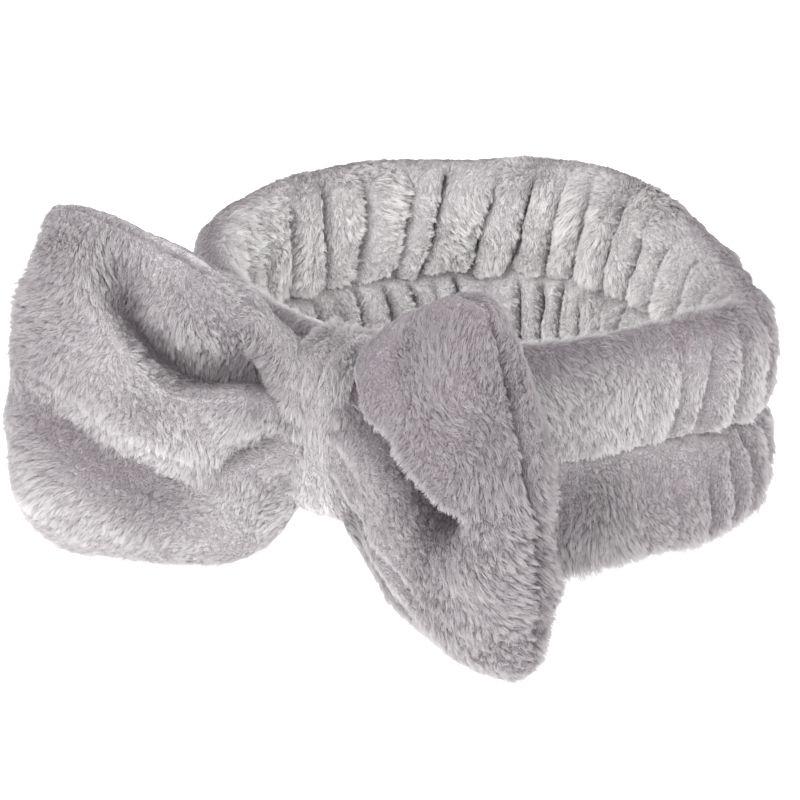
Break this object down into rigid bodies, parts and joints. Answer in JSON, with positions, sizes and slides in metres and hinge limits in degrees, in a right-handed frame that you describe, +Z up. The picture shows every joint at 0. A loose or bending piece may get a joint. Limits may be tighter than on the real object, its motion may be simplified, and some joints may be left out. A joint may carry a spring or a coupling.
{
  "type": "spa headband",
  "caption": "Plush fleece headband with a smooth padded front, an elastic gathered rear and a floppy bow held by a fleece wrap.",
  "frame": {"origin": "middle of the band's oval, on the plane of its lower edge", "axes": "+Z up out of the head opening, -Y towards the bow at the front, +X to the right of a viewer who faces the bow"},
  "size_m": [0.1902, 0.2126, 0.1185],
  "materials": {
    "fleece": "short dense plush pile, mauve grey",
    "thread": "spun polyester sewing thread",
    "elastic": "woven elastic tape",
    "wadding": "loose polyester fibre"
  },
  "bodies": {
    "band_front": {"front_cover": "fleece", "front_centre_seam": "thread", "front_closing_seam": "thread", "front_wadding_lower": "wadding", "front_wadding_upper": "wadding", "knot_wrap": "fleece", "knot_closing_stitches": "thread", "bow_waist": "fleece", "waist_thread": "thread"},
    "rear_band": {"rear_cover": "fleece", "rear_centre_seam": "thread", "rear_closing_seam": "thread", "elastic_lower": "elastic", "elastic_upper": "elastic", "elastic_tacks_left": "thread", "elastic_tacks_right": "thread"},
    "left_wing": {"left_wing_front": "fleece", "left_wing_back": "fleece", "left_wing_seam": "thread"},
    "right_wing": {"right_wing_front": "fleece", "right_wing_back": "fleece", "right_wing_seam": "thread"}
  },
  "joints": [
    {"name": "band_stretch", "type": "slide", "parent": "band_front", "child": "rear_band", "axis": [0, 1, 0], "range_m": [0, 0.05]},
    {"name": "left_wing_flop", "type": "hinge", "parent": "band_front", "child": "left_wing", "pos_m": [-0.022, -0.094, 0.057], "axis": [0, 0, 1], "range_deg": [-10, 40]},
    {"name": "right_wing_flop", "type": "hinge", "parent": "band_front", "child": "right_wing", "pos_m": [0.022, -0.094, 0.057], "axis": [0, 0, 1], "range_deg": [-34, 14]}
  ]
}
